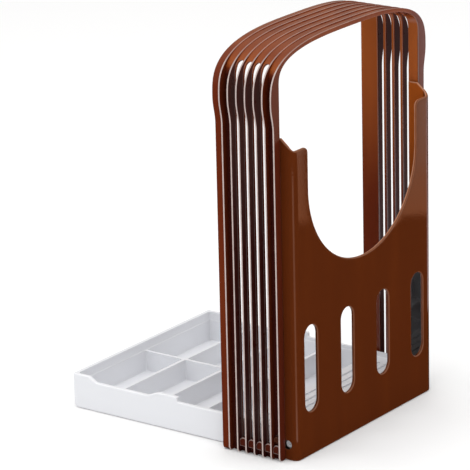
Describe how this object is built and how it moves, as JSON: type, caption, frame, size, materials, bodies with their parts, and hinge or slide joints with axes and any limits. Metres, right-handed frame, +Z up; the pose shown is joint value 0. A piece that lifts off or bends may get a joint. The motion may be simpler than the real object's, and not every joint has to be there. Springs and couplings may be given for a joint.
{
  "type": "bread slicer",
  "caption": "Folding bread slicer: a finned arch with knife slots, a windowed stop plate with a throat for the hand, and a base tray that folds up into the arch.",
  "frame": {"origin": "on the surface the slicer stands on, below the middle of its box with the tray open", "axes": "+X from the left wall to the right wall, +Y from the stop plate to the tray's far end, +Z up"},
  "size_m": [0.1564, 0.1626, 0.24],
  "materials": {
    "frame_plastic": "glossy red-brown moulded plastic",
    "plate_plastic": "glossy brown moulded plastic",
    "tray_plastic": "glossy white moulded plastic",
    "pin_plastic": "dark brown plastic"
  },
  "bodies": {
    "frame": {"slicing_frame": "frame_plastic", "stop_plate": "plate_plastic", "left_hinge_pin": "pin_plastic", "right_hinge_pin": "pin_plastic"},
    "tray": {"base_tray": "tray_plastic"}
  },
  "joints": [
    {"name": "tray_fold", "type": "hinge", "parent": "frame", "child": "tray", "pos_m": [0, -0.06975, 0.0122], "axis": [1, 0, 0], "range_deg": [0, 90]}
  ]
}
